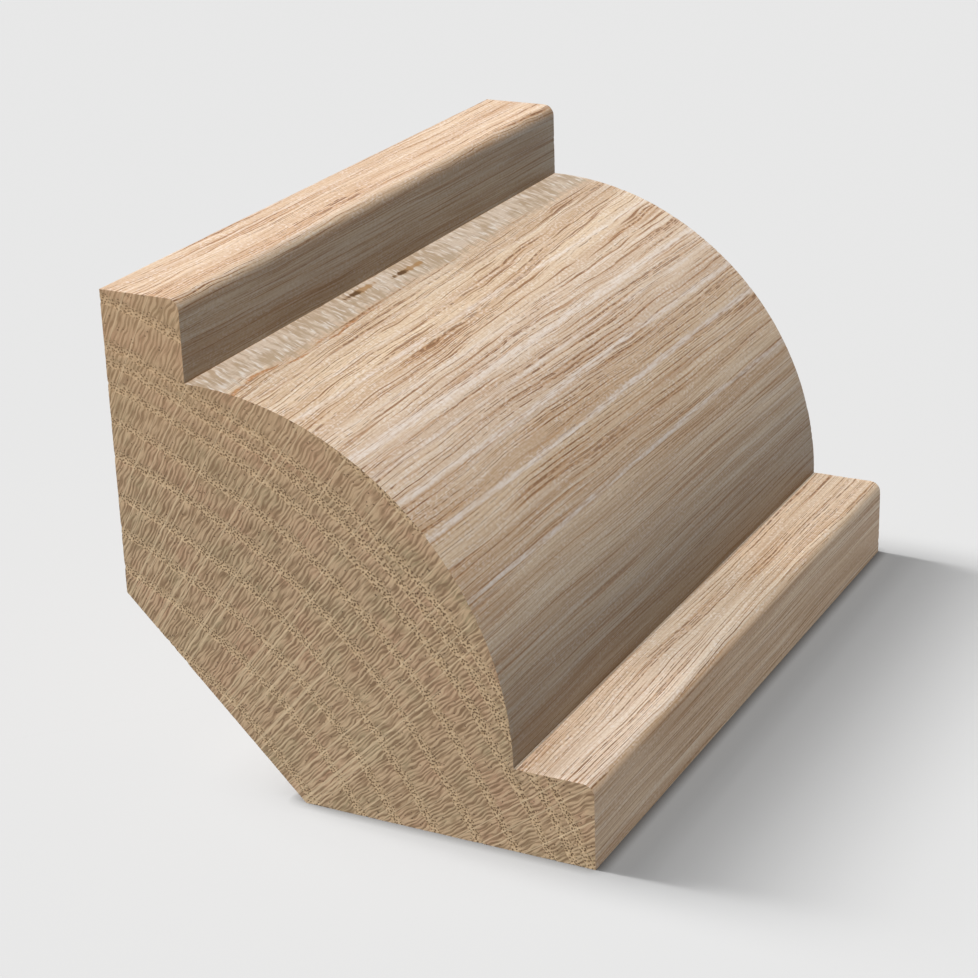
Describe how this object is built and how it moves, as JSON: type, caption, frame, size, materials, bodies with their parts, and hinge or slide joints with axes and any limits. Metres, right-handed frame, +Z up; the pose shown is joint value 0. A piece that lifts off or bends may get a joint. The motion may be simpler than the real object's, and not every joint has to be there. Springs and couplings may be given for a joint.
{
  "type": "ovolo moulding",
  "caption": "Short length of solid oak ovolo moulding: a quarter-round between square quirks and flanges, with a chamfered heel, for covering an inside corner.",
  "frame": {"origin": "on the seat face's plane, at the middle of the length and under the middle of the section's width", "axes": "+Z up from the seat face along the wall face, +Y along the grain and the length, +X away from the wall face towards the toe flange"},
  "size_m": [0.063, 0.1, 0.063],
  "materials": {
    "oak": "matte"
  },
  "bodies": {
    "root": {"ovolo_moulding": "oak"}
  },
  "joints": []
}
